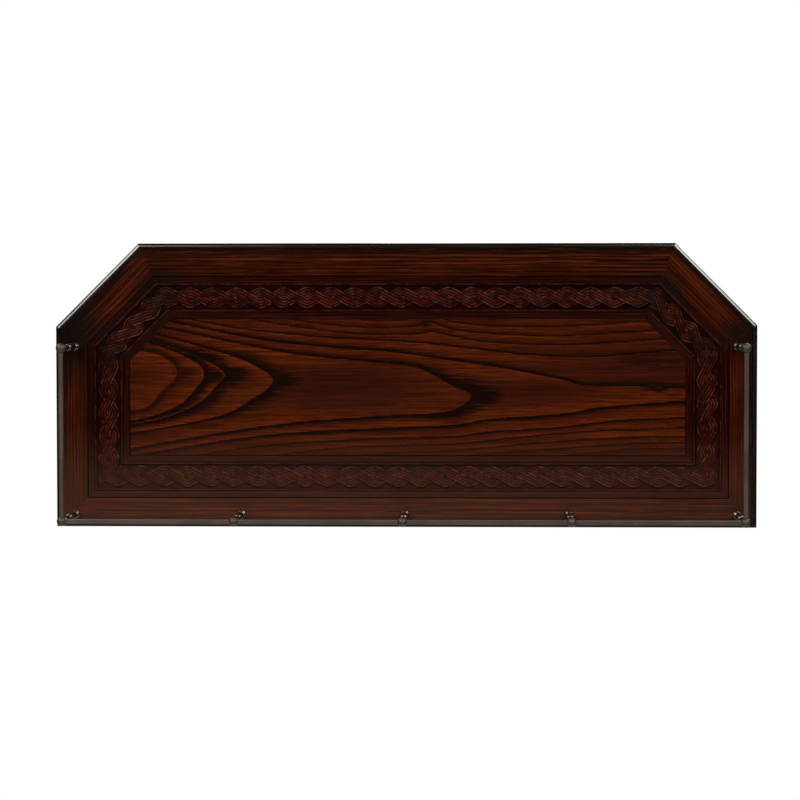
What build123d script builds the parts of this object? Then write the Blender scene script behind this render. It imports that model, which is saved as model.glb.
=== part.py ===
from build123d import *
import math
import os

# A wall rack for cues: a framed and carved board with clipped top corners, with a metal gallery rail
# that stands off its face along the bottom edge and up both sides. Cues lean behind the rail.
# Millimetres. X runs right, Y runs back into the wall, Z runs up.
# The origin is on the wall, midway between the two screw holes of the wall cleat.

# ---------------------------------------------------------------- board
BOARD_WIDTH = 901.5
BOARD_HEIGHT = 365.2
LEFT_CANT_RUN = 106.9       # length that the clipped corner takes off the top edge
LEFT_CANT_DROP = 107.2      # and off the side; the two corners were sawn by eye and differ a little
RIGHT_CANT_RUN = 104.5
RIGHT_CANT_DROP = 105.0
BOARD_THICKNESS = 20.0
WALL_GAP = 12.0             # from the wall to the back of the board
BOARD_BELOW_ORIGIN = 113.0  # the board's middle lies this far below the wall screws

LIP_WIDTH = 6.4
LIP_NOSE_RADIUS = 4.5
LIP_BACK_RADIUS = 1.0
PLAIN_BAND = {              # from the outer edge to the first inlaid fillet; cut by eye, so it varies
    "bottom": 38.0,
    "right": 36.6,
    "right_cant": 42.0,
    "top": 42.6,
    "left_cant": 43.8,
    "left": 41.2,
}
OUTER_FILLET = 9.0
CARVED_BAND = 36.7
INNER_FILLET = 9.0
INLAY_DEPTH = 5.0
EDGE_BREAK = 0.6            # small chamfers that make the dark lines between the bands

PANEL_RECESS = 1.0          # the panel's face lies this far behind the fillets
PANEL_THICKNESS = 13.0
PANEL_TONGUE = 6.0
PANEL_TONGUE_REACH = 6.5
PANEL_GROOVE_DEPTH = 7.5    # deeper than the tongue, so that the panel can swell
PANEL_SHY = 0.3

SPLINE_THICKNESS = 4.0
SPLINE_WIDTH = 20.0
SPLINE_START = 38.0         # depth from the inner edge of the lip to each end of a spline
SPLINE_END = 72.0

# ---------------------------------------------------------------- gallery
POST_SIDE_INSET = 25.2
POST_BOTTOM_INSET = 16.4
POST_INNER_X = 210.5
POST_UPPER_Z = 50.0         # above the board's middle
RAIL_STANDOFF = 110.0       # from the board's face to the middle of the rail
BALL_RADIUS = 6.2
RAIL_WIDTH = 6.0
RAIL_DEPTH = 5.0
RAIL_ROUNDING = 1.2
RAIL_END_GAP = 3.4          # solid metal left between the sockets in a corner ball

STUD_RADIUS = 2.5
STUD_GRIP = 14.0            # length of stud inside the post
THREAD_PLAY = 0.05
STUD_HOLE_RADIUS = 2.7
WASHER_RADIUS = 6.0
WASHER_THICKNESS = 1.0
NUT_ACROSS_FLATS = 8.0
NUT_THICKNESS = 4.0
COUNTERBORE_RADIUS = 7.0
COUNTERBORE_DEPTH = 7.0
STUD_SHORT_OF_BACK = 1.2

# ---------------------------------------------------------------- hanging
CLEAT_LENGTH = 560.0
WALL_CLEAT_THICKNESS = 11.5
WALL_CLEAT_BELOW = 15.0     # wall cleat's lower edge, below the screw line
WALL_CLEAT_ABOVE = 15.0     # back corner of its bevel, above the screw line
RACK_CLEAT_TOP = 52.0
RACK_CLEAT_OFF_WALL = 0.5
WALL_SCREW_SPACING = 406.4  # 16 inch stud spacing
WALL_SCREW_HOLE_RADIUS = 2.5
WALL_SCREW_HEAD_RADIUS = 5.0
BATTEN_HEIGHT = 30.0
BATTEN_UP = 30.0            # batten's lower edge, above the board's bottom edge
BUMPER_THICKNESS = 1.5
BUMPER_RADIUS = 10.0
BUMPER_X = (-230.0, 0.0, 230.0)

SCREW_RADIUS = 2.0
SCREW_HEAD_RADIUS = 4.0
SCREW_HEAD_HEIGHT = 2.4
SCREW_LENGTH = 25.0
SCREW_SLOT_WIDTH = 0.9
SCREW_SLOT_DEPTH = 1.0
CLEAT_SCREW_X = (-255.0, -120.0, 120.0, 255.0)
BATTEN_SCREW_X = (-160.0, 160.0)

# ---------------------------------------------------------------- derived places
BACK = -WALL_GAP
FACE = BACK - BOARD_THICKNESS
INLAY_FLOOR = FACE + INLAY_DEPTH
MID_Z = -BOARD_BELOW_ORIGIN
TOP_Z = MID_Z + BOARD_HEIGHT / 2
BOTTOM_Z = MID_Z - BOARD_HEIGHT / 2
HALF_WIDTH = BOARD_WIDTH / 2
RAIL_Y = FACE - RAIL_STANDOFF
LOWER_POST_Z = BOTTOM_Z + POST_BOTTOM_INSET
UPPER_POST_Z = MID_Z + POST_UPPER_Z
OUTER_POST_X = HALF_WIDTH - POST_SIDE_INSET

# The outline runs anticlockwise as seen from the front, so side i goes from corner i to corner i + 1.
SIDES = ("bottom", "right", "right_cant", "top", "left_cant", "left")
CORNERS = (
    Vector(-HALF_WIDTH, BOTTOM_Z),
    Vector(HALF_WIDTH, BOTTOM_Z),
    Vector(HALF_WIDTH, TOP_Z - RIGHT_CANT_DROP),
    Vector(HALF_WIDTH - RIGHT_CANT_RUN, TOP_Z),
    Vector(-HALF_WIDTH + LEFT_CANT_RUN, TOP_Z),
    Vector(-HALF_WIDTH, TOP_Z - LEFT_CANT_DROP),
)

POSTS = {
    "post_left_upper": (-OUTER_POST_X, UPPER_POST_Z),
    "post_left_corner": (-OUTER_POST_X, LOWER_POST_Z),
    "post_bottom_left": (-POST_INNER_X, LOWER_POST_Z),
    "post_bottom_centre": (0.0, LOWER_POST_Z),
    "post_bottom_right": (POST_INNER_X, LOWER_POST_Z),
    "post_right_corner": (OUTER_POST_X, LOWER_POST_Z),
    "post_right_upper": (OUTER_POST_X, UPPER_POST_Z),
}

# The turned profile of a post: height above the board's face, radius, and how far the stretch from the
# point before bulges outwards (negative for a hollow).
POST_PROFILE = (
    (0.0, 5.2, 0.0),        # flange on the board
    (1.6, 5.2, 0.0),
    (3.6, 4.3, 0.5),        # rounded shoulder
    (8.0, 3.7, -0.3),
    (12.0, 3.7, 1.4),       # lower bead
    (14.5, 3.6, 0.0),
    (28.0, 4.8, 0.7),       # vase
    (50.0, 3.2, -0.3),
    (52.0, 3.2, 0.0),
    (56.0, 3.2, 1.6),       # twin beads at the waist
    (58.0, 3.2, 0.0),
    (61.0, 3.2, 1.3),
    (63.0, 3.0, 0.0),
    (79.0, 4.0, 0.5),       # upper stem
    (92.5, 3.0, -0.3),
    (96.0, 3.0, 1.5),       # collar beads under the ball
    (97.8, 3.0, 0.0),
    (100.8, 3.0, 1.2),
    (105.0, 3.0, 0.0),      # runs into the ball
)


def front_plane(y):
    """A drawing plane at depth y, seen from the front: its X is right, its Y is up, it rises forwards."""
    return Plane(origin=(0, y, 0), x_dir=(1, 0, 0), z_dir=(0, -1, 0))


def slab(points, front, back):
    """A flat piece with this outline, from depth front to depth back."""
    return extrude(front_plane(back) * Polygon(*points, align=None), amount=back - front)


def rod(x, z, radius, front, back):
    """A round bar that runs front to back."""
    return extrude(front_plane(back) * Pos(x, z) * Circle(radius), amount=back - front)


def inset(depths):
    """The six corners of the outline moved inwards by depths[side] on each side."""
    lines = []
    for i, side in enumerate(SIDES):
        start, end = CORNERS[i], CORNERS[(i + 1) % len(CORNERS)]
        along = (end - start).normalized()
        inward = Vector(-along.Y, along.X)
        lines.append((start + inward * depths[side], along))
    corners = []
    for i, (point, along) in enumerate(lines):
        before_point, before_along = lines[i - 1]
        gap = point - before_point
        cross = before_along.X * along.Y - before_along.Y * along.X
        reach = (gap.X * along.Y - gap.Y * along.X) / cross
        corners.append(before_point + before_along * reach)
    return corners


def inset_all(depth):
    """The outline moved inwards by the same depth all round."""
    return inset({side: depth for side in SIDES})


def inset_from_band(extra):
    """The outline moved inwards to the end of the plain band and then by extra."""
    return inset({side: PLAIN_BAND[side] + extra for side in SIDES})


def mitred(i, near, far, front, back):
    """The stretch of side i between two inset outlines, with a mitre at each end."""
    j = (i + 1) % len(SIDES)
    return slab([near[i], near[j], far[j], far[i]], front, back)


def break_front_edges(piece, front, i):
    """Chamfers the long front edges of a mitred piece of side i."""
    along = (CORNERS[(i + 1) % len(CORNERS)] - CORNERS[i]).normalized()
    direction = Vector(along.X, 0, along.Y)
    edges = [
        edge
        for edge in piece.edges()
        if abs(edge.center().Y - front) < 0.01 and abs(edge.tangent_at(0).dot(direction)) > 0.9999
    ]
    return chamfer(edges, EDGE_BREAK)


LIP_EDGE = inset_all(LIP_WIDTH)
BAND_EDGE = inset_from_band(0.0)
CARVING_START = inset_from_band(OUTER_FILLET)
CARVING_END = inset_from_band(OUTER_FILLET + CARVED_BAND)
PANEL_DEPTH = OUTER_FILLET + CARVED_BAND + INNER_FILLET
PANEL_EDGE = inset_from_band(PANEL_DEPTH)


def screw(x, z, head_y):
    """A slotted countersunk wood screw driven forwards, with its head flush at depth head_y."""
    tip = head_y - SCREW_LENGTH
    shank_end = tip + 2 * SCREW_RADIUS
    head_end = head_y - SCREW_HEAD_HEIGHT
    profile = Polyline(
        (0, head_y), (SCREW_HEAD_RADIUS, head_y), (SCREW_RADIUS, head_end),
        (SCREW_RADIUS, shank_end), (0, tip), close=True,
    )
    return Pos(x, 0, z) * revolve(make_face(profile), Axis.Y)


def screw_slot(x, z, head_y):
    """The driver slot in a screw's head."""
    size = (2 * SCREW_HEAD_RADIUS + 1, 2 * SCREW_SLOT_DEPTH, SCREW_SLOT_WIDTH)
    return Pos(x, head_y, z) * Box(*size)


def stud(x, z):
    return rod(x, z, STUD_RADIUS, FACE - STUD_GRIP, BACK - STUD_SHORT_OF_BACK)


def washer(x, z):
    back = BACK - COUNTERBORE_DEPTH + WASHER_THICKNESS
    front = back - WASHER_THICKNESS
    bore = rod(x, z, STUD_RADIUS + THREAD_PLAY, front - 1, back + 1)
    return rod(x, z, WASHER_RADIUS, front, back) - bore


def nut(x, z):
    front = BACK - COUNTERBORE_DEPTH + WASHER_THICKNESS
    back = front + NUT_THICKNESS
    hexagon = RegularPolygon(NUT_ACROSS_FLATS / 2, 6, major_radius=False)
    body = extrude(front_plane(back) * Pos(x, z) * hexagon, amount=NUT_THICKNESS)
    return body - rod(x, z, STUD_RADIUS + THREAD_PLAY, front - 1, back + 1)


def stud_clearance(x, z):
    """What a post's stud, washer and nut take out of the frame."""
    hole = rod(x, z, STUD_HOLE_RADIUS, FACE - 1, BACK + 1)
    return hole + rod(x, z, COUNTERBORE_RADIUS, BACK - COUNTERBORE_DEPTH, BACK + 1)


def mitre_spline(i, play=0.0):
    """The loose tongue across the mitre at corner i, or its slot when play is given."""
    start, end = LIP_EDGE[i], PANEL_EDGE[i]
    along = (end - start).normalized()
    across = Vector(-along.Y, along.X) * (SPLINE_WIDTH / 2 + play)
    side = (CORNERS[(i + 1) % len(CORNERS)] - CORNERS[i]).normalized()
    stretch = 1 / abs(along.X * side.Y - along.Y * side.X)
    first = start + along * ((SPLINE_START - play) * stretch)
    last = start + along * ((SPLINE_END + play) * stretch)
    middle = (INLAY_FLOOR + BACK) / 2
    points = [first - across, last - across, last + across, first + across]
    return slab(points, middle - SPLINE_THICKNESS / 2, middle + SPLINE_THICKNESS / 2)


def rail_bar(start, end):
    """A rail of rounded flat bar between two points (x, z) at the rail's standoff."""
    length = math.dist(start, end)
    upright = abs(end[1] - start[1]) > abs(end[0] - start[0])
    width, height = (RAIL_WIDTH, length) if upright else (length, RAIL_WIDTH)
    bar = Box(width, RAIL_DEPTH, height)
    run = Axis.Z if upright else Axis.X
    bar = fillet(bar.edges().filter_by(run), RAIL_ROUNDING)
    return Pos((start[0] + end[0]) / 2, RAIL_Y, (start[1] + end[1]) / 2) * bar


def rails():
    """The three rails; each stops short of the middle of its end balls."""
    end_x = OUTER_POST_X - RAIL_END_GAP
    low_z, high_z = LOWER_POST_Z + RAIL_END_GAP, UPPER_POST_Z - RAIL_END_GAP
    return {
        "rail_bottom": rail_bar((-end_x, LOWER_POST_Z), (end_x, LOWER_POST_Z)),
        "rail_left": rail_bar((-OUTER_POST_X, low_z), (-OUTER_POST_X, high_z)),
        "rail_right": rail_bar((OUTER_POST_X, low_z), (OUTER_POST_X, high_z)),
    }


def turned_post():
    """One post about the Z axis, standing on the origin, with its ball head and stud socket."""
    points = [(radius, height) for height, radius, _ in POST_PROFILE]
    outline = Line((0, 0), points[0])
    for start, end, (_, _, bulge) in zip(points, points[1:], POST_PROFILE[1:]):
        if bulge:
            outline += SagittaArc(start, end, -bulge)
        else:
            outline += Line(start, end)
    outline += Polyline(points[-1], (0, points[-1][1]), (0, 0))
    stem = revolve(Plane.XZ * make_face(outline), Axis.Z)
    post = stem + Pos(0, 0, RAIL_STANDOFF) * Sphere(BALL_RADIUS)
    socket = Cylinder(STUD_RADIUS + THREAD_PLAY, STUD_GRIP, align=(Align.CENTER, Align.CENTER, Align.MIN))
    return post - socket


def frame_member(i, clearances):
    """A frame member: full thickness under the plain band, rebated for the inlay, grooved for the panel."""
    member = mitred(i, LIP_EDGE, PANEL_EDGE, INLAY_FLOOR, BACK)
    member += break_front_edges(mitred(i, LIP_EDGE, BAND_EDGE, FACE, INLAY_FLOOR), FACE, i)
    groove_floor = inset_from_band(PANEL_DEPTH - PANEL_GROOVE_DEPTH)
    tongue_back = FACE + PANEL_RECESS + PANEL_THICKNESS
    member -= slab(groove_floor, tongue_back - PANEL_TONGUE, tongue_back)
    for corner in (i, (i + 1) % len(SIDES)):
        member -= mitre_spline(corner, play=0.2)
    for clearance in clearances:
        member -= clearance
    return member


def edge_lip(i):
    """A lip along the outside, with a rounded nose in front."""
    lip = mitred(i, inset_all(0.0), LIP_EDGE, FACE, BACK)
    along = (CORNERS[(i + 1) % len(CORNERS)] - CORNERS[i]).normalized()
    direction = Vector(along.X, 0, along.Y)
    middle = (CORNERS[i] + CORNERS[(i + 1) % len(CORNERS)]) / 2
    inner_middle = (LIP_EDGE[i] + LIP_EDGE[(i + 1) % len(LIP_EDGE)]) / 2

    def long_edge(point, y):
        target = Vector(point.X, y, point.Y)
        long_edges = [e for e in lip.edges() if abs(e.tangent_at(0).dot(direction)) > 0.9999]
        return min(long_edges, key=lambda e: (e.center() - target).length)

    lip = fillet(long_edge(middle, FACE), LIP_NOSE_RADIUS)
    lip = fillet(long_edge(middle, BACK), LIP_BACK_RADIUS)
    return chamfer(long_edge(inner_middle, FACE), EDGE_BREAK)


def central_panel():
    """The figured board, with a tongue all round that sits in the frame's groove."""
    face = FACE + PANEL_RECESS
    back = face + PANEL_THICKNESS
    field = slab(inset_from_band(PANEL_DEPTH + PANEL_SHY), face, back)
    tongue = inset_from_band(PANEL_DEPTH - PANEL_TONGUE_REACH)
    return field + slab(tongue, back - PANEL_TONGUE, back)


def cleat_bar(bottom_at, top_at, front, back):
    """A long bar across the back whose lower and upper edges are given as heights at the front and back."""
    section = Polyline(
        (back, bottom_at[1]), (front, bottom_at[0]), (front, top_at[0]), (back, top_at[1]), close=True,
    )
    plane = Plane(origin=(-CLEAT_LENGTH / 2, 0, 0), x_dir=(0, 1, 0), z_dir=(1, 0, 0))
    return extrude(plane * make_face(section), amount=CLEAT_LENGTH)


def wall_cleat():
    """The bar that stays on the wall: its top edge slopes up towards the room and hooks the rack cleat."""
    front = -WALL_CLEAT_THICKNESS
    bottom = (-WALL_CLEAT_BELOW, -WALL_CLEAT_BELOW)
    top = (WALL_CLEAT_ABOVE - front, WALL_CLEAT_ABOVE)
    cleat = cleat_bar(bottom, top, front, 0.0)
    sink = WALL_SCREW_HEAD_RADIUS - WALL_SCREW_HOLE_RADIUS
    for x in (-WALL_SCREW_SPACING / 2, WALL_SCREW_SPACING / 2):
        cleat -= rod(x, 0, WALL_SCREW_HOLE_RADIUS, front - 1, 1)
        cone = Cone(WALL_SCREW_HEAD_RADIUS, WALL_SCREW_HOLE_RADIUS, sink)
        cleat -= Pos(x, front + sink / 2, 0) * Rot(-90, 0, 0) * cone
    return cleat


def rack_cleat(fixings):
    """The bar on the rack's back whose lower edge slopes to match and drops behind the wall cleat's lip."""
    back = -RACK_CLEAT_OFF_WALL
    bottom = (WALL_CLEAT_ABOVE + WALL_GAP, WALL_CLEAT_ABOVE + RACK_CLEAT_OFF_WALL)
    return cleat_bar(bottom, (RACK_CLEAT_TOP, RACK_CLEAT_TOP), BACK, back) - fixings


def group(solids):
    return Compound(children=list(solids))


bars = rails()
post_places = list(POSTS.values())
clearances = [stud_clearance(x, z) for x, z in post_places]

cleat_screw_z = (WALL_CLEAT_ABOVE + WALL_GAP + RACK_CLEAT_TOP) / 2
cleat_screws = [(x, cleat_screw_z, -RACK_CLEAT_OFF_WALL) for x in CLEAT_SCREW_X]
batten_low = BOTTOM_Z + BATTEN_UP
batten_back = -BUMPER_THICKNESS
batten_screws = [(x, batten_low + BATTEN_HEIGHT / 2, batten_back) for x in BATTEN_SCREW_X]
top_fixings = Part() + [screw(*place) for place in cleat_screws]
batten_fixings = Part() + [screw(*place) for place in batten_screws]

nodes = {"central_panel": central_panel()}
for i, side in enumerate(SIDES):
    member = frame_member(i, clearances)
    if side == "top":
        member -= top_fixings
    if side == "bottom":
        member -= batten_fixings
    nodes[f"frame_{side}"] = member
    nodes[f"edge_lip_{side}"] = edge_lip(i)
    fillet_out = mitred(i, BAND_EDGE, CARVING_START, FACE, INLAY_FLOOR)
    nodes[f"outer_fillet_{side}"] = break_front_edges(fillet_out, FACE, i)
    nodes[f"carved_band_{side}"] = mitred(i, CARVING_START, CARVING_END, FACE, INLAY_FLOOR)
    fillet_in = mitred(i, CARVING_END, PANEL_EDGE, FACE, INLAY_FLOOR)
    nodes[f"inner_fillet_{side}"] = break_front_edges(fillet_in, FACE, i)
nodes["mitre_splines"] = group(mitre_spline(i) for i in range(len(SIDES)))

post = turned_post()
for name, (x, z) in POSTS.items():
    placed = Pos(x, FACE, z) * Rot(90, 0, 0) * post
    for bar in bars.values():
        placed -= bar
    nodes[name] = placed
nodes.update(bars)
nodes["post_studs"] = group(stud(x, z) for x, z in post_places)
nodes["post_washers"] = group(washer(x, z) for x, z in post_places)
nodes["post_nuts"] = group(nut(x, z) for x, z in post_places)

nodes["wall_cleat"] = wall_cleat()
nodes["rack_cleat"] = rack_cleat(top_fixings)
nodes["cleat_screws"] = group(screw(*p) - screw_slot(*p) for p in cleat_screws)
batten = Pos(0, (BACK + batten_back) / 2, batten_low + BATTEN_HEIGHT / 2) * Box(
    CLEAT_LENGTH, batten_back - BACK, BATTEN_HEIGHT
)
nodes["spacer_batten"] = batten - batten_fixings
nodes["batten_screws"] = group(screw(*p) - screw_slot(*p) for p in batten_screws)
nodes["wall_bumpers"] = group(
    rod(x, batten_low + BATTEN_HEIGHT / 2, BUMPER_RADIUS, batten_back, 0.0) for x in BUMPER_X
)

os.makedirs("parts", exist_ok=True)
for name, shape in nodes.items():
    export_step(shape, f"parts/{name}.step")
print(len(nodes), "nodes written")
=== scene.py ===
import math

import bmesh
import bpy
import numpy as np
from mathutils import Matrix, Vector
from mathutils.kdtree import KDTree

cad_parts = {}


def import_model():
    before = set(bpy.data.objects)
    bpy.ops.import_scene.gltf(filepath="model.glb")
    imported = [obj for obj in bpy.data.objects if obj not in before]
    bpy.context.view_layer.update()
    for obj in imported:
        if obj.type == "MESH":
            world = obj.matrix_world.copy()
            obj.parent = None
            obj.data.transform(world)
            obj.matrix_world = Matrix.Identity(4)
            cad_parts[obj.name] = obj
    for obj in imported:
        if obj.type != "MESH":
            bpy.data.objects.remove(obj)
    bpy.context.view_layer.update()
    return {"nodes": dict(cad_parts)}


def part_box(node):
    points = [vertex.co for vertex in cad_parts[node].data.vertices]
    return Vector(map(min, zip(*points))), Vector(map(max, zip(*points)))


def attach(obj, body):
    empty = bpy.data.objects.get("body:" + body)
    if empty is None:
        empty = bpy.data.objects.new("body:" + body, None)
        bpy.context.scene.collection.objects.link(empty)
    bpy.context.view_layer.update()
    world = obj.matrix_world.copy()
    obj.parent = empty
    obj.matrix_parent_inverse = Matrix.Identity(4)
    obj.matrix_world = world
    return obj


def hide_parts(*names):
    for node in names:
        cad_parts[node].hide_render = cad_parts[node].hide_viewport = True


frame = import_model()
nodes = frame["nodes"]

MM = 0.001
SIDES = ("bottom", "right", "right_cant", "top", "left_cant", "left")
POSTS = [name for name in nodes if name.startswith("post_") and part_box(name)[0].y < -0.1]

panel_low, panel_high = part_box("central_panel")
RAIL_Y = sum(corner.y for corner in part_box("rail_bottom")) / 2
board_low, board_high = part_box("edge_lip_bottom")[0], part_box("edge_lip_top")[1]
MIDDLE = Vector((0.0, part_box("frame_bottom")[0].y, (board_low.z + board_high.z) / 2))


# ------------------------------------------------------------------ helpers
def colour(r, g, b):
    """A colour given as display values from 0 to 255, in linear light with full alpha."""
    linear = []
    for value in (r, g, b):
        v = value / 255
        linear.append(v / 12.92 if v <= 0.04045 else ((v + 0.055) / 1.055) ** 2.4)
    return (*linear, 1.0)


def smoothstep(edge0, edge1, x):
    t = np.clip((x - edge0) / (edge1 - edge0), 0.0, 1.0)
    return t * t * (3 - 2 * t)


def wander(x, wavelength, seed):
    """A smooth random line between -1 and 1 along x."""
    knots = np.random.default_rng(seed).uniform(-1, 1, 512)
    t = np.asarray(x) / wavelength + 256
    i = np.floor(t).astype(int)
    f = smoothstep(0.0, 1.0, t - i)
    return knots[i % 512] * (1 - f) + knots[(i + 1) % 512] * f


def spline(points, per_span=12):
    """A smooth line through the points, as an array of places along it."""
    p = np.array(points, float)
    p = np.vstack([2 * p[0] - p[1], p, 2 * p[-1] - p[-2]])
    t = np.linspace(0, 1, per_span, endpoint=False)[:, None]
    spans = []
    for a, b, c, d in zip(p, p[1:], p[2:], p[3:]):
        spans.append(
            0.5 * (2 * b + (c - a) * t + (2 * a - 5 * b + 4 * c - d) * t**2 + (3 * b - a - 3 * c + d) * t**3)
        )
    return np.vstack([*spans, p[-2:-1]])


def inside(polygon, x, z):
    """True where (x, z) lies in the closed polygon."""
    result = np.zeros(x.shape, bool)
    for (x0, z0), (x1, z1) in zip(polygon, np.roll(polygon, -1, axis=0)):
        crosses = (z0 > z) != (z1 > z)
        if not crosses.any():
            continue
        at = x0 + (z - z0) * (x1 - x0) / (z1 - z0)
        result ^= crosses & (x < at)
    return result


class Surface:
    """A material's node tree, built from the shader backwards."""

    def __init__(self, name):
        self.material = bpy.data.materials.new(name)
        self.material.use_nodes = True
        self.nodes = self.material.node_tree.nodes
        self.links = self.material.node_tree.links
        self.nodes.clear()
        self.shader = self.nodes.new("ShaderNodeBsdfPrincipled")
        output = self.nodes.new("ShaderNodeOutputMaterial")
        self.links.new(self.shader.outputs["BSDF"], output.inputs["Surface"])
        self.place = self.nodes.new("ShaderNodeTexCoord").outputs["Object"]

    def put(self, socket, value):
        if isinstance(value, bpy.types.NodeSocket):
            self.links.new(value, socket)
        else:
            socket.default_value = value

    def set(self, **values):
        """Sets or links the shader's own sockets; an underscore stands for a space."""
        for name, value in values.items():
            self.put(self.shader.inputs[name.replace("_", " ")], value)

    def attribute(self, name):
        node = self.nodes.new("ShaderNodeAttribute")
        node.attribute_name = name
        return node.outputs["Fac"]

    def math(self, operation, a, b=0.0):
        node = self.nodes.new("ShaderNodeMath")
        node.operation = operation
        self.put(node.inputs[0], a)
        self.put(node.inputs[1], b)
        return node.outputs[0]

    def smooth(self, value, low, high, out_low=0.0, out_high=1.0):
        node = self.nodes.new("ShaderNodeMapRange")
        node.interpolation_type = "SMOOTHSTEP"
        self.put(node.inputs["Value"], value)
        self.put(node.inputs["From Min"], low)
        self.put(node.inputs["From Max"], high)
        self.put(node.inputs["To Min"], out_low)
        self.put(node.inputs["To Max"], out_high)
        return node.outputs["Result"]

    def mix(self, factor, a, b):
        node = self.nodes.new("ShaderNodeMix")
        node.data_type = "RGBA"
        self.put(node.inputs[0], factor)
        self.put(node.inputs[6], a)
        self.put(node.inputs[7], b)
        return node.outputs[2]

    def wash(self, body, shade, mask, strength):
        """The body colour with a shade laid over it, as strong as mask times strength."""
        return self.mix(self.math("MULTIPLY", mask, strength), body, shade)

    def mapped(self, size, angle=0.0, shift=(0.0, 0.0, 0.0)):
        """Places in units of size = (along, through, across), turned by angle about Y."""
        node = self.nodes.new("ShaderNodeMapping")
        node.vector_type = "TEXTURE"
        node.inputs["Location"].default_value = shift
        node.inputs["Rotation"].default_value = (0.0, angle, 0.0)
        node.inputs["Scale"].default_value = size
        self.put(node.inputs["Vector"], self.place)
        return node.outputs["Vector"]

    def facing(self):
        """How squarely the surface faces the room: 1 on the board's face, 0 on its edges, -1 on its back."""
        normal = self.nodes.new("ShaderNodeNewGeometry").outputs["Normal"]
        return self.math("MULTIPLY", self.axis("Y", normal), -1.0)

    def axis(self, name, vector):
        parts = self.nodes.new("ShaderNodeSeparateXYZ")
        self.put(parts.inputs[0], vector)
        return parts.outputs[name]

    def noise(self, vector, detail=2.0, roughness=0.5, distortion=0.0):
        node = self.nodes.new("ShaderNodeTexNoise")
        node.inputs["Scale"].default_value = 1.0
        node.inputs["Detail"].default_value = detail
        node.inputs["Roughness"].default_value = roughness
        node.inputs["Distortion"].default_value = distortion
        self.put(node.inputs["Vector"], vector)
        return node.outputs["Fac"]

    def blob(self, centre, radius, stretch=1.0, angle=0.0):
        """1 at a place on the board's face, falling to 0 at radius; stretch lengthens it along angle."""
        vector = self.mapped((radius * stretch, 1e3, radius), angle, (centre[0], 0.0, centre[1]))
        length = self.nodes.new("ShaderNodeVectorMath")
        length.operation = "LENGTH"
        self.put(length.inputs[0], vector)
        return self.smooth(length.outputs["Value"], 1.0, 0.15)

    def with_painted_haze(self, body):
        """The body colour with a painted greyish haze of reflected light laid over it low down, most on the
        left.
        """
        height = self.axis("Z", self.place)
        amount = self.smooth(height, MIDDLE.z - 0.045, MIDDLE.z - 0.150, 0.0, 0.30)
        across = self.smooth(self.axis("X", self.place), -0.45, 0.45, 1.15, 0.8)
        return self.wash(body, colour(80, 52, 39), amount, across)

    def bump(self, height, distance, strength=1.0):
        node = self.nodes.new("ShaderNodeBump")
        node.inputs["Strength"].default_value = strength
        node.inputs["Distance"].default_value = distance
        self.put(node.inputs["Height"], height)
        self.put(self.shader.inputs["Normal"], node.outputs["Normal"])


def dress(piece, surface):
    """Gives an object one material in all its slots."""
    if not piece.material_slots:
        piece.data.materials.append(surface.material)
    for place in piece.material_slots:
        place.material = surface.material


def new_mesh(name, verts, faces):
    mesh = bpy.data.meshes.new(name)
    mesh.from_pydata(verts, [], faces)
    mesh.update()
    piece = bpy.data.objects.new(name, mesh)
    bpy.context.scene.collection.objects.link(piece)
    return piece


def add_values(mesh, name, values):
    layer = mesh.attributes.new(name, "FLOAT", "POINT")
    layer.data.foreach_set("value", np.asarray(values, np.float32).ravel())


def strip_corners(name):
    """A mitred strip's front corners as (x, z): outer edge's start and end, inner edge's end and start."""
    co = np.array([v.co for v in nodes[name].data.vertices])
    front = co[:, 1].min()
    face = np.unique(np.round(co[co[:, 1] < front + 1e-5][:, [0, 2]], 6), axis=0)
    middle = face.mean(0)
    turn = np.argsort(np.arctan2(face[:, 1] - middle[1], face[:, 0] - middle[0]))
    ring = face[turn]
    lengths = np.linalg.norm(np.roll(ring, -1, axis=0) - ring, axis=1)
    return np.roll(ring, -int(lengths.argmax()), axis=0), front


STRIPS = {side: strip_corners(f"carved_band_{side}") for side in SIDES}


def side_angle(side):
    """The turn about Y that lays X along this side of the board."""
    (start, end, _, _), _ = STRIPS[side]
    along = end - start
    return math.atan2(-along[1], along[0])


def outer_line(side):
    """A point on the board's outer edge on this side, level with the start of its carving."""
    (start, end, _, _), _ = STRIPS[side]
    along = (end - start) / np.linalg.norm(end - start)
    inward = np.array((-along[1], along[0]))
    rim = np.array([v.co for v in nodes[f"edge_lip_{side}"].data.vertices])[:, [0, 2]]
    return start - inward * ((start - rim) @ inward).max()


# ------------------------------------------------------------------ carved bands, all in mm
PITCH = 30.2                # from one turn of the twist to the next
SWING = 7.0                 # how far a strap's middle line swings each side of the band's middle
STRAP_HALF = 6.4            # half a strap's width
GROOVE_AT = 3.7             # from a strap's middle line to the groove inside its edge bead
BEAD_AT = 5.4               # from a strap's middle line to its edge bead
GROUND_DEPTH = 2.3          # from the face down to the sunk ground
UNDER_DEPTH = 0.9           # how far a strap dips where it passes beneath
WOBBLE = 0.7                # how far a strap strays by hand
DEEPEST = 4.6               # the relief stays above this depth
GRID = 0.6                  # spacing of the points that carry the relief
# Where the first turn lies along each side.
FIRST_TURN = {"bottom": 29.5, "right": 20.3, "right_cant": 12.8, "top": 28.0, "left_cant": 29.0, "left": 26.2}


def rope(phase):
    """A rounded zigzag: 1 at whole phases, -1 half way between."""
    keenness = 0.98
    return np.arcsin(keenness * np.cos(2 * np.pi * phase)) / math.asin(keenness)


def ridge(x, centre, half):
    """A round bead across x."""
    return np.sqrt(np.clip(1 - ((x - centre) / half) ** 2, 0, 1))


def near(x, centre, half):
    """1 within half of centre, falling softly to 0 at twice that."""
    return smoothstep(2 * half, half, np.abs(x - centre))


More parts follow.
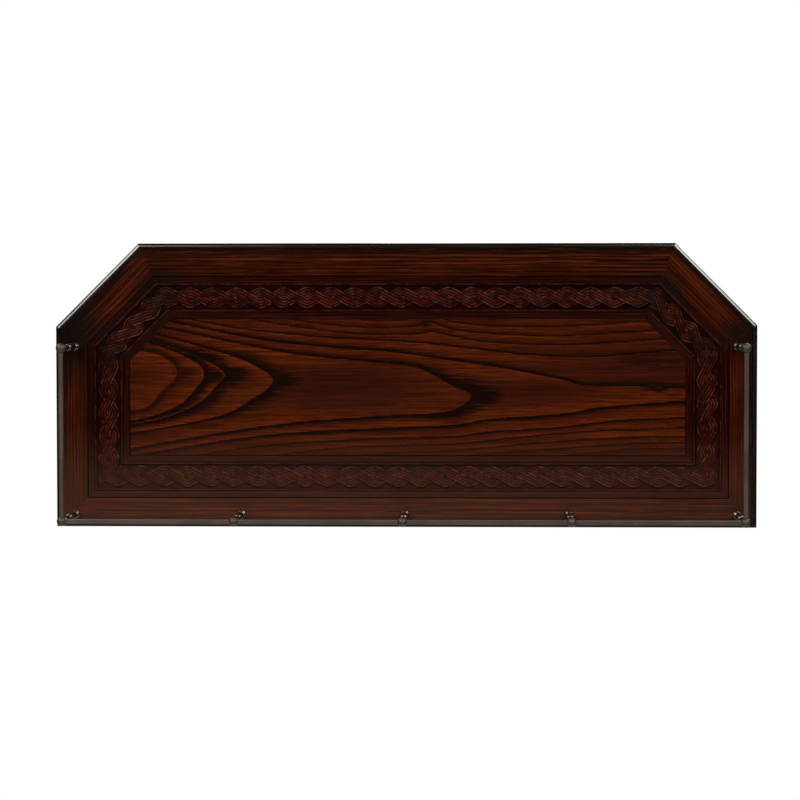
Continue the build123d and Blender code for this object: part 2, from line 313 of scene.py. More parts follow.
def strap_section(d):
    """Height of a strap's section, d from its middle line: a groove, a flat, a groove, then a bead."""
    core = -0.12 * smoothstep(1.6, 3.8, d)
    grooves = -0.45 * np.exp(-(((d - GROOVE_AT) / 0.5) ** 2)) - 0.35 * np.exp(-((d / 0.5) ** 2))
    bead = 0.35 * ridge(d, BEAD_AT, 1.0)
    return core + grooves + bead - smoothstep(6.0, STRAP_HALF + 0.9, d) * 4.0


def carving(u, v, width, first, seed):
    """At u along and v across: depth below the face, and how far it is strap, painted highlight or painted
    shade.
    """
    w = v - (width / 2 - 0.2)
    rough = wander(u * 3.1 + v * 7.7, 2.3, seed) * wander(v * 2.7 - u, 1.7, seed + 1)
    height = -GROUND_DEPTH + 0.2 * rough
    strap = np.zeros_like(u)
    bead = np.zeros_like(u)
    # line is painted shade: in dips of the ground, in the grooves, along the upper strap's edges, beside the
    # borders.
    line = smoothstep(0.0, 0.6, -height - GROUND_DEPTH)
    over = np.full_like(u, 99.0)
    for k in range(2):
        phase = (u - first) / (2 * PITCH) - k / 2
        wobble = WOBBLE * wander(u, 13.0, seed + 5 + k)
        middle = SWING * rope(phase) + wobble
        ahead = SWING * rope(phase + 0.5 / (2 * PITCH)) + wobble
        d = np.abs(w - middle) * np.cos(np.arctan2(ahead - middle, 0.5))
        rising = (phase % 1.0) - 0.5
        from_turn = np.minimum(rising, 0.5 - rising) * 2 * PITCH
        beneath = smoothstep(0.5, 9.0, np.where(rising > 0, from_turn, 0.0))
        h = strap_section(d) - 0.25 - UNDER_DEPTH * beneath
        on_top = h > height
        height = np.where(on_top, h, height)
        # lit is painted highlight on the edge bead and beside the middle; cut is painted shade in the
        # grooves.
        lit = np.maximum(near(d, BEAD_AT, 0.4), 0.6 * near(d, 1.7, 0.35))
        cut = np.maximum(near(d, GROOVE_AT, 0.42), 0.8 * near(d, 0.0, 0.4))
        strap = np.where(on_top, smoothstep(3.6, 2.9, d), strap)
        bead = np.where(on_top, lit * (1 - 0.35 * beneath), bead)
        line = np.where(on_top, np.maximum(cut, smoothstep(6.3, 6.9, d)), line)
        over = np.where(rising <= 0, np.minimum(over, d), over)
    # Painted shadow of the upper strap on the strap that passes under it.
    line = np.maximum(line, smoothstep(8.6, 6.9, over) * smoothstep(6.3, 6.8, over))
    for from_edge, centre, gap in ((v, 1.1, 3.2), (width - v, 1.9, 3.4)):
        border = 0.5 * ridge(from_edge, centre, 1.3) - 0.75
        on_top = (border > height) & (from_edge < centre + 1.3)
        height = np.where(on_top, border, height)
        strap = np.where(on_top, 0.0, strap)
        # Painted highlight on the border bead, and painted shade in the gap beside it.
        bead = np.where(on_top, 0.35 * near(from_edge, centre, 0.4), bead)
        line = np.where(on_top, 0.0, line)
        line = np.maximum(line, 0.8 * near(from_edge, gap, 0.5) * (height < -0.9))
    return np.clip(-height, 0.02, DEEPEST), strap, bead, line


def carved_band(side, seed):
    """A band with its plait cut into a sunk ground between two raised border lines."""
    name = f"carved_band_{side}"
    (start, end, far_end, far_start), front = STRIPS[side]
    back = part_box(name)[1].y
    length = np.linalg.norm(end - start)
    along = (end - start) / length
    inward = np.array((-along[1], along[0]))
    width = (far_start - start) @ inward
    lean = (far_start - start) @ along
    lean_end = (far_end - end) @ along
    columns = round(length / (GRID * MM))
    rows = round(width / (GRID * MM))
    v = np.linspace(0, width, rows + 1)[:, None]
    t = np.linspace(0, 1, columns + 1)[None, :]
    u = lean * v / width + t * (length + (lean_end - lean) * v / width)
    v = np.broadcast_to(v, u.shape)
    depth, strap, bead, line = carving(u / MM, v / MM, width / MM, FIRST_TURN[side], seed)
    x = start[0] + along[0] * u + inward[0] * v
    z = start[1] + along[1] * u + inward[1] * v
    y = front + depth * MM
    top = np.stack([x, y, z], -1).reshape(-1, 3)
    index = np.arange(top.shape[0]).reshape(u.shape)
    quads = np.stack([index[:-1, :-1], index[:-1, 1:], index[1:, 1:], index[1:, :-1]], -1).reshape(-1, 4)
    rim = np.concatenate([index[0, :], index[1:, -1], index[-1, -2::-1], index[-2:0:-1, 0]])
    floor = top[rim].copy()
    floor[:, 1] = back
    low = np.arange(len(rim)) + len(top)
    skirt = np.stack([rim, low, np.roll(low, -1), np.roll(rim, -1)], -1)
    faces = [*quads.tolist(), *skirt.tolist()]
    faces.append(low[::-1].tolist())
    piece = new_mesh(name + "_relief", np.vstack([top, floor]).tolist(), faces)
    inlaid = 5.0            # mm, the depth that the points on the back count as
    # bead carries painted highlight, line painted shade and shadow.
    for label, values, behind in (
            ("strap", strap, 0.0), ("bead", bead, 0.0), ("line", line, 0.0), ("depth", depth, inlaid)):
        add_values(piece.data, label, np.concatenate([values.ravel(), np.full(len(floor), behind)]))
    smooth = np.zeros(len(faces), bool)
    smooth[: len(quads)] = True
    piece.data.polygons.foreach_set("use_smooth", smooth)
    piece.data.set_sharp_from_angle(angle=math.radians(65))
    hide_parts(name)
    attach(piece, "rack")
    return piece


# ------------------------------------------------------------------ figured panel
# The growth lines on the panel, in mm from the board's middle, nested from the left. Each line has the
# width of its dark wood at the tip and along its flanks, and its strength.
GROWTH_LINES = (
    (10, 5, 0.7, ((-375, -35), (-333, -28), (-313, -6), (-297, 9), (-299, 27), (-323, 41), (-375, 50))),
    (17, 8, 1.0, ((-380, -49), (-331, -41), (-291, -25), (-268, -2), (-259, 14), (-270, 30), (-306, 47),
                   (-385, 70))),
    (19, 9, 1.0, ((-385, -55), (-310, -41), (-264, -21), (-240, 4), (-233, 14), (-246, 26), (-285, 43),
                   (-390, 79))),
    (19, 4.5, 1.0, ((-390, -66), (-300, -52), (-232, -37), (-200, -19), (-177, -4), (-171, 9), (-188, 22),
                  (-218, 36), (-290, 57), (-400, 84))),
    (24, 5, 1.0, ((-400, -90), (-250, -63), (-150, -49), (-80, -43), (-20, -39), (45, -35), (72, -27),
                  (85, -12), (60, 0), (38, 13), (8, 25), (-60, 32), (-130, 39), (-200, 51), (-400, 92))),
    (15, 6, 1.0, ((-400, -99), (-250, -73), (-150, -61), (-60, -56), (60, -50.5), (110, -43), (205, -36),
                 (250, -28), (330, -21.5), (430, -12), (345, -3), (326, -8), (300, -1), (232, 0), (200, 8),
                 (130, 21.5), (60, 32), (-20, 43), (-100, 49), (-200, 61), (-400, 102))),
    (6, 3.6, 0.95, ((-400, -112), (-200, -79), (-60, -69), (60, -65), (110, -59), (200, -53), (280, -44),
                   (440, -34), (470, 0), (440, 48), (340, 44.5), (240, 37), (150, 40), (80, 48), (0, 56),
                   (-120, 63), (-240, 77), (-400, 112))),
    (6, 3.4, 0.9, ((-400, -128), (-120, -83), (60, -74.5), (150, -65), (250, -57), (440, -46), (490, 0),
                    (440, 64), (300, 57), (200, 51.5), (110, 55), (65, 62), (34, 68.5), (0, 65), (-120, 72),
                    (-400, 122))),
    (6, 3.2, 0.9, ((-400, -142), (-60, -90), (60, -83), (200, -70.5), (300, -65), (450, -56), (510, 0),
                   (450, 76), (320, 70), (200, 63), (110, 66), (60, 72), (30, 81), (0, 74), (-120, 80),
                   (-400, 132))),
    (6, 3.0, 0.85, ((-400, -150), (60, -92), (200, -80), (300, -73), (460, -64), (530, 0), (460, 88),
                   (300, 81), (200, 75), (120, 75.5), (60, 81), (30, 91), (-60, 84), (-400, 140))),
    (6, 3.0, 0.8, ((-400, -160), (180, -92), (300, -80), (470, -71), (540, 0), (470, 100), (250, 88),
                   (100, 92), (-400, 150))),
)
TIP_STRETCH = 0.27          # the dark wood runs on past a tip, along the grain
TIP_REACH = 45.0            # mm from a tip over which its dark wood thins to the flanks' width
# Stretches where the light wood is stained darker: middle, half width and half height in mm, and strength.
DULL = (
    (-60, -2, 118, 38, 0.85),
    (60, -90, 440, 22, 0.6),
    (-330, 78, 55, 30, 0.8),
    (300, 32, 150, 38, 0.75),
    (120, -12, 80, 14, 0.6),
    (60, 96, 440, 34, 0.4),
    (190, -6, 90, 15, 0.8),
    (45, -22, 60, 12, 0.6),
    (-335, 8, 40, 32, 0.35),
    (290, 33, 60, 9, 0.9),
)


def grain_values(x, z):
    """Growth phase, local line spacing, dark wood width, its strength, and dullness, at places in mm."""
    lines = [spline(points) for *_, points in GROWTH_LINES]
    far_left = -900         # well past the panel, where the open ends of the lines are joined
    count = np.zeros(x.shape, int)
    gaps = []
    for line in lines:
        closed = np.vstack([line, [(far_left, line[-1, 1]), (far_left, line[0, 1])]])
        count += ~inside(closed, x, z)
        tree = KDTree(len(line) * 4)
        t = np.linspace(0, len(line) - 1, len(line) * 4)
        i = np.minimum(t.astype(int), len(line) - 2)
        dense = line[i] + (line[i + 1] - line[i]) * (t - i)[:, None]
        for k, (px, pz) in enumerate(dense):
            tree.insert((px, pz, 0.0), k)
        tree.balance()
        gaps.append(np.array([tree.find((a, b, 0.0))[2] for a, b in zip(x, z)]))
    gaps = np.array(gaps)
    row = np.arange(len(x))
    inner = np.clip(count - 1, 0, len(lines) - 1)
    outer = np.clip(count, 0, len(lines) - 1)
    before_first, after_last = 30.0, 9.0
    to_inner = np.where(count > 0, gaps[inner, row], before_first)
    to_outer = np.where(count < len(lines), gaps[outer, row], after_last)
    width = np.ones(x.shape)
    strength = np.zeros(x.shape)
    for k, ((tip_width, flank_width, power, _), line) in enumerate(zip(GROWTH_LINES, lines)):
        tip = line[line[:, 0].argmax()]
        here = inner == k
        near_tip = np.exp(-(((x - tip[0]) / TIP_REACH) ** 2))
        past = np.hypot((x - tip[0]) * TIP_STRETCH, z - tip[1])
        beyond = here & (x > tip[0] - 4)
        to_inner = np.where(beyond, np.minimum(to_inner, past), to_inner)
        width = np.where(here, flank_width + (tip_width - flank_width) * near_tip, width)
        strength = np.where(here, power, strength)
    strength = np.where(count > 0, strength, 0.0)
    spacing = to_inner + to_outer
    phase = count + to_inner / np.maximum(spacing, 1e-6)
    dull = np.zeros(x.shape)
    for cx, cz, rx, rz, power in DULL:
        dull = np.maximum(dull, power * np.exp(-((((x - cx) / rx) ** 2 + ((z - cz) / rz) ** 2) ** 1.5)))
    return phase, spacing, width, strength, dull


def divide(bm, faces, axis, stops):
    """Cuts faces at each stop along an axis. Each cut only meets what still lies beyond the one before."""
    normal = Vector((axis == 0, 0, axis == 2))
    done = []
    for at in stops:
        parts = set(faces)
        for face in faces:
            parts.update(face.edges)
            parts.update(face.verts)
        cut = bmesh.ops.bisect_plane(bm, geom=list(parts), dist=1e-7, plane_co=normal * at, plane_no=normal)
        halves = [g for g in cut["geom"] if isinstance(g, bmesh.types.BMFace)]
        faces = [f for f in halves if f.calc_center_median()[axis] > at]
        done += [f for f in halves if f.calc_center_median()[axis] <= at]
    return done + faces


def figured_panel():
    """The CAD panel with its face divided finely enough to hold the figure of the wood."""
    bm = bmesh.new()
    bm.from_mesh(nodes["central_panel"].data)
    bmesh.ops.remove_doubles(bm, verts=bm.verts, dist=1e-6)
    bmesh.ops.dissolve_limit(bm, angle_limit=math.radians(1), verts=bm.verts, edges=bm.edges)
    step = 2.5 * MM
    front = [f for f in bm.faces if f.calc_center_median().y < panel_low.y + 1e-4]
    front = divide(bm, front, 2, np.arange(panel_low.z + step, panel_high.z - step / 2, step))
    divide(bm, front, 0, np.arange(panel_low.x + step, panel_high.x - step / 2, step))
    mesh = bpy.data.meshes.new("figured_panel")
    bm.to_mesh(mesh)
    bm.free()
    piece = bpy.data.objects.new("figured_panel", mesh)
    bpy.context.scene.collection.objects.link(piece)
    co = np.zeros(len(mesh.vertices) * 3)
    mesh.vertices.foreach_get("co", co)
    co = co.reshape(-1, 3)
    values = grain_values(co[:, 0] / MM, (co[:, 2] - MIDDLE.z) / MM)
    for name, value in zip(("phase", "spacing", "width", "strength", "dull"), values):
        add_values(mesh, name, value)
    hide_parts("central_panel")
    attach(piece, "rack")
    return piece


# ------------------------------------------------------------------ woods
NEAR_BLACK = colour(14, 8, 5)
# Painted shade: on faces turned away from the front, and in the carving's grooves and under its crossings.
PAINTED_SHADE_BLACK = colour(7, 4, 3)
PAINTED_EDGE_SHADE = 12.0            # mm of painted shade inside the board's outer edge
WIDE_PAINTED_EDGE_SHADE = 17.0       # the same, on the left cant


def wood_lines(surface, angle, seed):
    """Three grades of grain: broad growth bands, fine streaks and short pores, each from 0 to 1."""
    shift = (seed * 0.37, seed * 0.11, seed * 0.23)
    bands = surface.noise(surface.mapped((0.34, 0.05, 0.0075), angle, shift), 3.0, 0.55, 0.35)
    streaks = surface.noise(surface.mapped((0.11, 0.02, 0.0017), angle, shift), 3.0, 0.6, 0.1)
    pores = surface.noise(surface.mapped((0.010, 0.004, 0.00055), angle, shift), 2.0, 0.5)
    return bands, streaks, pores


def satin(surface, roughness, shine=0.12):
    """The clear finish, rubbed to a satin gloss."""
    surface.set(Roughness=roughness, Specular_IOR_Level=shine)


def stained(name, angle, seed, tone, dark_patches, lines, painted_edge_shade=PAINTED_EDGE_SHADE):
    """Straight-grained stained wood: near-black lines in a brown ground, with orange streaks between them.

    lines gives a point on the board's outer edge, the first growth line's distance from it in mm, and the
    pitch of those after it. The last argument is the width in mm of the painted shade along the board's edge.
    """
    s = Surface(name)
    bands, streaks, pores = wood_lines(s, angle, seed)
    dark, mid, light, glow = (colour(*shade) for shade in tone)
    broad = s.math("ADD", s.math("MULTIPLY", bands, 0.6), s.math("MULTIPLY", streaks, 0.4))
    body = s.mix(s.smooth(broad, 0.47, 0.60), mid, light)
    body = s.wash(body, glow, s.smooth(streaks, 0.53, 0.66), s.smooth(bands, 0.42, 0.58))
    body = s.wash(body, dark, s.smooth(streaks, 0.45, 0.36), 0.8)
    edge, first, pitch = lines
    across = s.axis("Z", s.mapped((MM, MM, MM), angle, (edge[0], 0.0, edge[1])))
    drift = s.noise(s.mapped((0.22, 0.05, 0.02), angle, (seed, 0.1, 0.5)), 2.0, 0.5)
    drift = s.math("ADD", s.math("MULTIPLY", drift, 7.0), s.math("MULTIPLY", streaks, 1.4))
    mean_drift = 4.2
    moved = s.math("ADD", across, s.math("SUBTRACT", drift, mean_drift + first))
    share = s.math("FRACT", s.math("DIVIDE", moved, pitch))
    ring = s.math("MAXIMUM", s.smooth(share, 0.42, 0.10), s.smooth(share, 0.94, 1.0))
    body = s.wash(body, dark, ring, s.smooth(bands, 0.36, 0.56, 0.6, 1.0))
    # Painted shade in a strip along the board's outer edge, wider on the left cant.
    rim = s.smooth(across, painted_edge_shade + 3.0, painted_edge_shade - 3.5)
    body = s.wash(body, NEAR_BLACK, rim, 0.92)
    combed = s.noise(s.mapped((0.05, 0.01, 0.0015), angle, (seed * 0.29, 0.0, seed * 0.13)), 3.0, 0.65)
    body = s.wash(body, dark, s.smooth(combed, 0.53, 0.42), 0.4)
    body = s.wash(body, glow, s.smooth(combed, 0.55, 0.66), 0.45)
    body = s.wash(body, dark, s.smooth(pores, 0.60, 0.70), 0.5)
    patches = s.noise(s.mapped((0.11, 0.11, 0.05), angle, (seed, 0.3, 0.7)), 3.0, 0.6, 0.4)
    body = s.wash(body, dark, s.smooth(patches, 0.52, 0.70), 0.4)
    # Darker patches at corners; the one by the bottom right corner post is painted shadow.
    for centre, radius, stretch, power in dark_patches:
        dark_patch = s.blob(centre, radius, stretch, angle)
        body = s.wash(body, NEAR_BLACK, dark_patch, power)
    # Painted reflection haze low down.
    body = s.with_painted_haze(body)
    # Faces turned away from the front, the chamfers in the joints and the edges, get painted shade.
    flat = s.math("ABSOLUTE", s.facing())
    s.set(Base_Color=s.mix(s.smooth(flat, 0.99, 0.85), body, PAINTED_SHADE_BLACK))
    satin(s, s.smooth(streaks, 0.3, 0.7, 0.18, 0.25))
    relief = s.math("SUBTRACT", s.math("MULTIPLY", streaks, 0.5), s.smooth(pores, 0.58, 0.7))
    s.bump(relief, 0.00010, 0.2)
    return s


def blackened(name, angle, seed, shine, tint):
    """The edge lips: almost black, polished by handling, with the grain just showing."""
    s = Surface(name)
    bands, streaks, _ = wood_lines(s, angle, seed)
    s.set(Base_Color=s.mix(s.smooth(bands, 0.40, 0.62), colour(6, 3, 2), colour(18, 9, 6)))
    satin(s, s.smooth(streaks, 0.3, 0.7, 0.15, 0.22), shine)
    s.set(IOR=1.7, Specular_Tint=tint)
    s.bump(streaks, 0.00006, 0.08)
    return s


# Four shades of one wood: its dark lines, its ground, its lighter stretches and its orange streaks.
# The bottom's shades are lighter and greyer: painted reflection haze.
FRAME_TONES = {
    "bottom": ((26, 6, 2), (58, 19, 7), (76, 29, 11), (100, 44, 18)),
    "right": ((24, 4, 0), (58, 16, 4), (76, 24, 6), (94, 34, 9)),
    "right_cant": ((26, 5, 1), (54, 15, 3), (72, 24, 5), (88, 34, 8)),
    "top": ((18, 3, 0), (52, 15, 3), (70, 24, 5), (86, 34, 8)),
    "left_cant": ((24, 5, 1), (60, 16, 5), (82, 26, 8), (104, 39, 13)),
    "left": ((24, 6, 2), (46, 13, 4), (58, 18, 6), (72, 26, 9)),
}
# The carving's sunk ground, the dull and the bright red of its straps, and their worn edges with painted
# highlight.
CARVED_TONES = ((13, 3, 1), (34, 7, 3), (58, 12, 6), (94, 42, 25))
# The low fillets, along the bottom, are lighter and greyer: painted reflection haze.
FILLET_TONES = {
    "low": ((26, 8, 4), (42, 14, 8), (52, 19, 11), (64, 27, 16)),
    "high": ((14, 3, 0), (36, 6, 3), (48, 9, 4), (60, 15, 7)),
}
LIP_SHINE = {"bottom": 0.08, "right": 0.8, "right_cant": 0.85, "top": 0.7, "left_cant": 0.85, "left": 0.4}
LIP_TINT = {side: colour(255, 250, 245) for side in SIDES} | {"top": colour(255, 208, 180)}
# The plain bands' growth lines: the first one's distance from the board's edge in mm, and their pitch.
GROWTH = {
    "bottom": (10.8, 9.3),
    "right": (17.6, 3.6),
    "right_cant": (13.6, 4.9),
    "top": (12.0, 4.9),
    "left_cant": (14.6, 7.3),
    "left": (12.0, 4.7),
}
FILLET_FIRST_LINE = 0.8     # the same two for the fillets
FILLET_PITCH = 2.9
# Darkening at the board's corners: the place along the mitre, the radius in metres and the strength.
CORNER_DARKENING = {
    # Corner 1, by the bottom right corner post, is painted shadow.
    1: (-0.55, 0.028, 0.5),
    2: (-0.7, 0.03, 0.8),
    3: (0.2, 0.045, 0.75),
    4: (0.0, 0.038, 0.8),
    5: (-0.8, 0.055, 0.95),
}


def corner_point(i, depth_share):
    """A place along the mitre at corner i of the carved bands: 0 at their outer edge, 1 at their inner."""
    ring, _ = STRIPS[SIDES[i]]
    return tuple(ring[0] + (ring[3] - ring[0]) * depth_share)


def dress_frame():
    """The plain bands, the edge lips and the fillets, side by side, darker near some corners."""
    for i, side in enumerate(SIDES):
        dark_patches = []
        for j in (i, (i + 1) % 6):
            if j in CORNER_DARKENING:
                share, radius, power = CORNER_DARKENING[j]
                dark_patches.append((corner_point(j, share), radius, 1.5, power))
        angle = side_angle(side)
        edge = outer_line(side)
        painted_edge_shade = WIDE_PAINTED_EDGE_SHADE if side == "left_cant" else PAINTED_EDGE_SHADE
        lines = (edge, *GROWTH[side])
        band = stained(f"stained_frame_{side}", angle, i + 1, FRAME_TONES[side], dark_patches, lines, painted_edge_shade)
        dress(nodes[f"frame_{side}"], band)
        lip = blackened(f"dark_lip_{side}", angle, i + 11, LIP_SHINE[side], LIP_TINT[side])
        dress(nodes[f"edge_lip_{side}"], lip)
        tone = FILLET_TONES["low" if side == "bottom" else "high"]
        for j, place in enumerate(("outer", "inner")):
            lines = (edge, FILLET_FIRST_LINE + j, FILLET_PITCH)
            fillet = stained(f"red_fillet_{place}_{side}", angle, i + 21 + 10 * j, tone, dark_patches, lines)
            dress(nodes[f"{place}_fillet_{side}"], fillet)


def carved_surface(side, seed, dark_patches):
    """Dark sunk ground, red-brown straps, worn beads with painted highlights, painted shade in grooves."""
    s = Surface(f"carved_wood_{side}")
    angle = side_angle(side)
    bands, streaks, pores = wood_lines(s, angle, seed)
    strap, bead, line, depth = (s.attribute(name) for name in ("strap", "bead", "line", "depth"))
    sunk, low, high, worn_and_glint = (colour(*shade) for shade in CARVED_TONES)
    body = s.mix(s.smooth(depth, 2.2, 1.2), s.mix(s.smooth(bands, 0.35, 0.65), sunk, low), low)
    body = s.mix(strap, body, s.mix(s.smooth(streaks, 0.40, 0.62), low, high))
    rub = s.noise(s.mapped((0.011, 0.011, 0.011)), 4.0, 0.7)
    # Worn edges with a painted highlight on the beads, broken up by rubbing.
    body = s.wash(body, worn_and_glint, bead, s.smooth(rub, 0.46, 0.58))
    body = s.wash(body, s.mix(0.5, sunk, low), s.smooth(rub, 0.48, 0.34), 0.75)
    body = s.wash(body, sunk, s.smooth(pores, 0.58, 0.70), 0.5)
    # Painted shade in the grooves and painted shadow beside the crossings.
    body = s.wash(body, s.mix(0.5, sunk, PAINTED_SHADE_BLACK), line, 0.7)
    for centre, radius, stretch, power in dark_patches:
        body = s.wash(body, NEAR_BLACK, s.blob(centre, radius, stretch, angle), power)
    s.set(Base_Color=s.with_painted_haze(body))
    satin(s, 0.24, 0.03)
    s.bump(s.math("SUBTRACT", streaks, s.smooth(pores, 0.58, 0.7)), 0.0001, 0.2)
    return s


# Dark stains along the grain near the panel's right end: place from the board's middle and half height in
# mm, length over height, and strength.
PANEL_STAINS = ((322, -1.0, 12.0, 4.0, 1.0), (258, 1.0, 6.5, 9.0, 0.9), (318, 33.0, 18.0, 3.2, 0.9))


def panel_surface():
    """Cathedral figure: each growth line is sharp on its inner side and fades outwards, over fine streaks."""
    s = Surface("figured_board")
    bands, streaks, pores = wood_lines(s, 0.0, 41)
    fibres = s.noise(s.mapped((0.022, 0.01, 0.0011)), 2.0, 0.6)
    fray = s.math("MULTIPLY", s.math("SUBTRACT", fibres, 0.5), 1.6)
    spacing = s.attribute("spacing")
    phase = s.math("ADD", s.attribute("phase"), s.math("DIVIDE", fray, spacing))
    share = s.math("FRACT", phase)
    past_line = s.math("MULTIPLY", share, spacing)
    combed = s.noise(s.mapped((0.045, 0.01, 0.0016), 0.0, (0.31, 0.0, 0.17)), 3.0, 0.65)
    width = s.attribute("width")
    ragged = s.math("MULTIPLY", s.math("SUBTRACT", combed, 0.5), s.smooth(width, 7.0, 16.0, 0.5, 1.7))
    fade = s.math("ADD", s.math("DIVIDE", past_line, width), ragged)
    late = s.math("MULTIPLY", s.smooth(fade, 1.05, 0.35), s.attribute("strength"))
    early = s.smooth(share, 0.2, 0.95)
    wood = s.mix(early, colour(54, 15, 2), colour(92, 32, 4))
    wood = s.wash(wood, colour(40, 10, 2), s.smooth(streaks, 0.56, 0.40), 0.6)
    wood = s.wash(wood, colour(30, 7, 1), s.smooth(fibres, 0.53, 0.40), 0.5)
    wood = s.wash(wood, colour(34, 8, 1), s.smooth(combed, 0.52, 0.43), 0.5)
    wood = s.wash(wood, colour(108, 42, 8), s.smooth(combed, 0.56, 0.68), 0.35)
    wood = s.wash(wood, colour(104, 40, 5), s.smooth(bands, 0.5, 0.7), 0.35)
    dull = s.mix(s.smooth(streaks, 0.4, 0.6), colour(32, 8, 2), colour(50, 14, 4))
    wood = s.mix(s.attribute("dull"), wood, dull)
    wood = s.wash(wood, colour(15, 3, 0), late, 0.96)
    knot = s.blob((0.027, MIDDLE.z + 0.078), 0.007, 1.3)
    wood = s.wash(wood, colour(20, 5, 2), knot, 0.8)
    torn = s.smooth(combed, 0.60, 0.46)
    for x, z, radius, stretch, power in PANEL_STAINS:
        stain = s.blob((x * MM, MIDDLE.z + z * MM), radius * MM, stretch)
        wood = s.wash(wood, colour(20, 5, 2), s.math("MULTIPLY", stain, torn), power)
    wood = s.wash(wood, colour(24, 7, 2), s.smooth(pores, 0.58, 0.70), 0.45)
    plain = s.mix(s.smooth(bands, 0.35, 0.65), colour(40, 11, 2), colour(62, 20, 5))
    plain = s.wash(plain, colour(24, 6, 1), s.smooth(streaks, 0.54, 0.40), 0.6)
    # The face gets painted reflection haze low down; its edges keep the plain colour.
    s.set(Base_Color=s.mix(s.smooth(s.facing(), 0.1, 0.9), plain, s.with_painted_haze(wood)))
    satin(s, s.smooth(streaks, 0.3, 0.7, 0.20, 0.27))
    relief = s.math("SUBTRACT", s.math("MULTIPLY", streaks, 0.5), s.smooth(pores, 0.58, 0.7))
    s.bump(s.math("SUBTRACT", relief, s.math("MULTIPLY", late, 0.5)), 0.00010, 0.2)
    return s


def pale_wood(name, seed):
    """Plain unfinished batten wood, as used out of sight."""
    s = Surface(name)
    bands, streaks, pores = wood_lines(s, 0.0, seed)
    body = s.mix(s.smooth(bands, 0.35, 0.65), colour(150, 112, 72), colour(186, 150, 104))
    body = s.wash(body, colour(120, 82, 48), s.smooth(streaks, 0.52, 0.66), 0.5)
    s.set(Base_Color=body, Roughness=s.smooth(streaks, 0.3, 0.7, 0.62, 0.75))
    s.bump(s.math("SUBTRACT", streaks, s.smooth(pores, 0.6, 0.7)), 0.0002, 0.5)
    return s


# ------------------------------------------------------------------ metals and felt
def patinated_posts():
    """Old metal, bright where it is worn on the turned stems, and darker and duller on the heads."""
    s = Surface("patinated_posts")
    cloud = s.noise(s.mapped((0.012, 0.012, 0.012)), 4.0, 0.65, 0.3)
    specks = s.noise(s.mapped((0.0016, 0.0016, 0.0016)), 3.0, 0.6)
    wear = s.math("ADD", s.math("MULTIPLY", cloud, 0.6), s.math("MULTIPLY", specks, 0.4))
    head = s.smooth(s.axis("Y", s.place), RAIL_Y + 0.009, RAIL_Y + 0.005)
    stem = s.mix(s.smooth(wear, 0.40, 0.62), colour(70, 62, 54), colour(158, 146, 134))
    s.set(Base_Color=s.mix(head, stem, colour(76, 66, 62)), Metallic=s.smooth(head, 0.0, 1.0, 1.0, 0.8))
    s.set(Roughness=s.math("ADD", s.smooth(wear, 0.35, 0.65, 0.36, 0.24), s.math("MULTIPLY", head, 0.2)))
    s.bump(s.math("MULTIPLY", specks, 0.6), 0.00012, 0.5)
    return s


def patinated_rails():
    """Drawn flat bar with an even, slightly pink grey skin."""
    s = Surface("patinated_rails")
    cloud = s.noise(s.mapped((0.05, 0.05, 0.05)), 3.0, 0.5)
    drawn = s.noise(s.mapped((0.06, 0.0012, 0.0012)), 2.0, 0.5)
    skin = s.mix(s.smooth(cloud, 0.35, 0.65), colour(84, 72, 67), colour(98, 85, 79))
    s.set(Base_Color=s.wash(skin, colour(74, 64, 60), s.smooth(drawn, 0.5, 0.7), 0.3))
    s.set(Metallic=0.75, Roughness=s.smooth(drawn, 0.3, 0.7, 0.36, 0.46))
    s.bump(drawn, 0.00004, 0.3)
    return s


def plain_steel():
    s = Surface("plain_steel")
    rub = s.noise(s.mapped((0.004, 0.004, 0.004)), 3.0, 0.6)
    s.set(Base_Color=s.mix(rub, colour(150, 148, 144), colour(190, 188, 184)), Metallic=1.0)
    s.set(Roughness=s.smooth(rub, 0.3, 0.7, 0.28, 0.46))
    s.bump(rub, 0.0001, 0.3)
    return s


def felt():
    s = Surface("felt")
    fibre = s.noise(s.mapped((0.0009, 0.0009, 0.0009)), 4.0, 0.7, 1.5)
    s.set(Base_Color=s.mix(fibre, colour(18, 30, 22), colour(44, 62, 48)), Roughness=0.95)
    s.set(Sheen_Weight=0.5, Sheen_Roughness=0.5)
    s.bump(fibre, 0.0006, 0.8)
    return s


# ------------------------------------------------------------------ make and dress every piece
dress_frame()
for i, side in enumerate(SIDES):
    upper_corners = [j for j in (i, (i + 1) % 6) if j in (2, 3, 4, 5)]
    dark_patches = [(corner_point(j, 0.5), 0.03, 1.2, 0.55) for j in upper_corners]
    dress(carved_band(side, 100 + 10 * i), carved_surface(side, 51 + i, dark_patches))
dress(figured_panel(), panel_surface())

post_metal, rail_metal = patinated_posts(), patinated_rails()
for name in POSTS:
    dress(nodes[name], post_metal)
for name in ("rail_bottom", "rail_left", "rail_right"):
    dress(nodes[name], rail_metal)
steel = plain_steel()
for name in ("post_studs", "post_washers", "post_nuts", "cleat_screws", "batten_screws"):
    dress(nodes[name], steel)
batten_wood = pale_wood("secondary_wood", 61)
for name in ("wall_cleat", "rack_cleat", "spacer_batten", "mitre_splines"):
    dress(nodes[name], batten_wood)
dress(nodes["wall_bumpers"], felt())

# ------------------------------------------------------------------ floor, light and camera
FLOOR_Z = -1.45             # metres; a floor below a thing that hangs on a wall


def floor():
    size = 2.6
    piece = new_mesh(
        "floor",
        [(-size, -size, FLOOR_Z), (size, -size, FLOOR_Z), (size, size, FLOOR_Z), (-size, size, FLOOR_Z)],
        [(0, 1, 2, 3)],
    )
    s = Surface("pale_floor")
    cloud = s.noise(s.mapped((0.6, 0.6, 0.6)), 3.0, 0.5)
    s.set(Base_Color=s.mix(cloud, colour(226, 225, 222), colour(236, 235, 233)), Roughness=0.8)
    dress(piece, s)


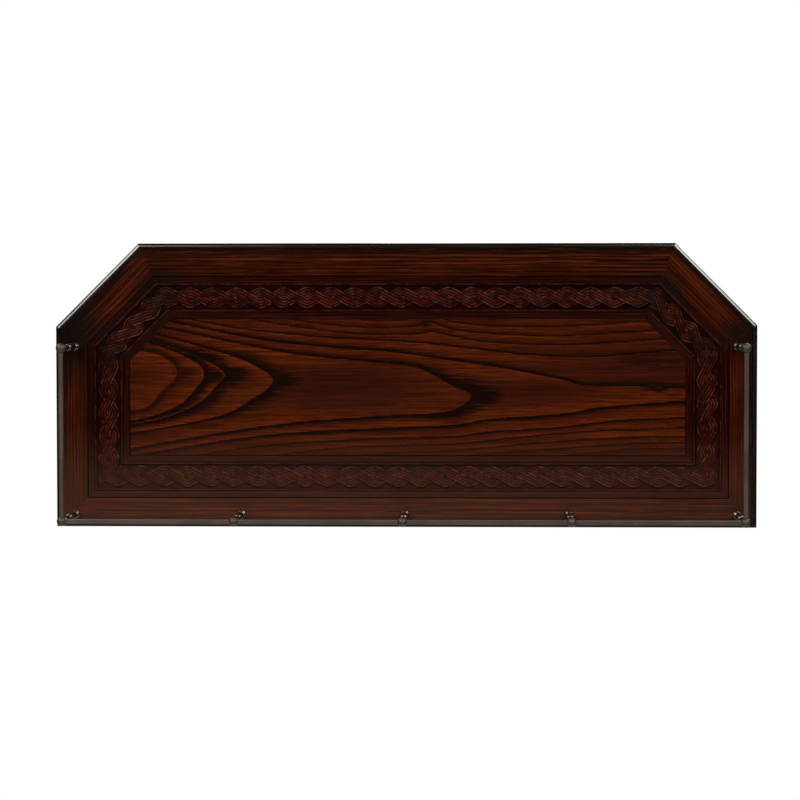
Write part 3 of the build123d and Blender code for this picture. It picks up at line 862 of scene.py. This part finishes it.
def lamp(name, direction, distance, size, watts):
    """A soft box that faces the board's middle from this direction; the camera doesn't see it."""
    data = bpy.data.lights.new(name, "AREA")
    data.shape = "RECTANGLE"
    data.size, data.size_y = size
    data.energy = watts
    piece = bpy.data.objects.new(name, data)
    bpy.context.scene.collection.objects.link(piece)
    away = Vector(direction).normalized()
    piece.location = MIDDLE + away * distance
    piece.rotation_mode = "QUATERNION"
    piece.rotation_quaternion = (-away).to_track_quat("-Z", "Y")
    piece.visible_camera = False


def world():
    """White behind everything, and an even, dim room for what the object reflects."""
    room = bpy.data.worlds.new("studio")
    bpy.context.scene.world = room
    room.use_nodes = True
    tree = room.node_tree
    tree.nodes.clear()
    path = tree.nodes.new("ShaderNodeLightPath")
    seen = tree.nodes.new("ShaderNodeBackground")
    seen.inputs["Color"].default_value = (1, 1, 1, 1)
    seen.inputs["Strength"].default_value = 1.0
    dim = tree.nodes.new("ShaderNodeBackground")
    dim.inputs["Color"].default_value = (1, 0.98, 0.95, 1)
    dim.inputs["Strength"].default_value = 0.025
    pick = tree.nodes.new("ShaderNodeMixShader")
    output = tree.nodes.new("ShaderNodeOutputWorld")
    tree.links.new(path.outputs["Is Camera Ray"], pick.inputs[0])
    tree.links.new(dim.outputs[0], pick.inputs[1])
    tree.links.new(seen.outputs[0], pick.inputs[2])
    tree.links.new(pick.outputs[0], output.inputs["Surface"])


floor()
world()
lamp("key_left", (-0.49, -0.70, 0.51), 2.8, (1.5, 1.5), 50)
lamp("key_right", (0.49, -0.70, 0.51), 2.8, (1.5, 1.5), 50)
lamp("rim_left", (-0.69, 0.1, 0.72), 2.0, (2.4, 0.8), 18)
lamp("rim_right", (0.69, 0.1, 0.72), 2.0, (2.4, 0.8), 18)
lamp("low_front", (-0.5, -3.4, -0.93), 3.5, (2.2, 0.3), 5)
lamp("back", (0.25, 0.95, 0.30), 2.6, (1.6, 1.2), 34)

camera = bpy.data.objects.new("camera", bpy.data.cameras.new("camera"))
bpy.context.scene.collection.objects.link(camera)
camera.location = MIDDLE + Vector((0.1050, -3.2277, 0.1112))
camera.rotation_euler = (1.53061, 0.00078, 0.03447)
camera.data.sensor_width = 36.0
camera.data.lens = 113.22
bpy.context.scene.camera = camera
bpy.context.scene.view_settings.view_transform = "Standard"
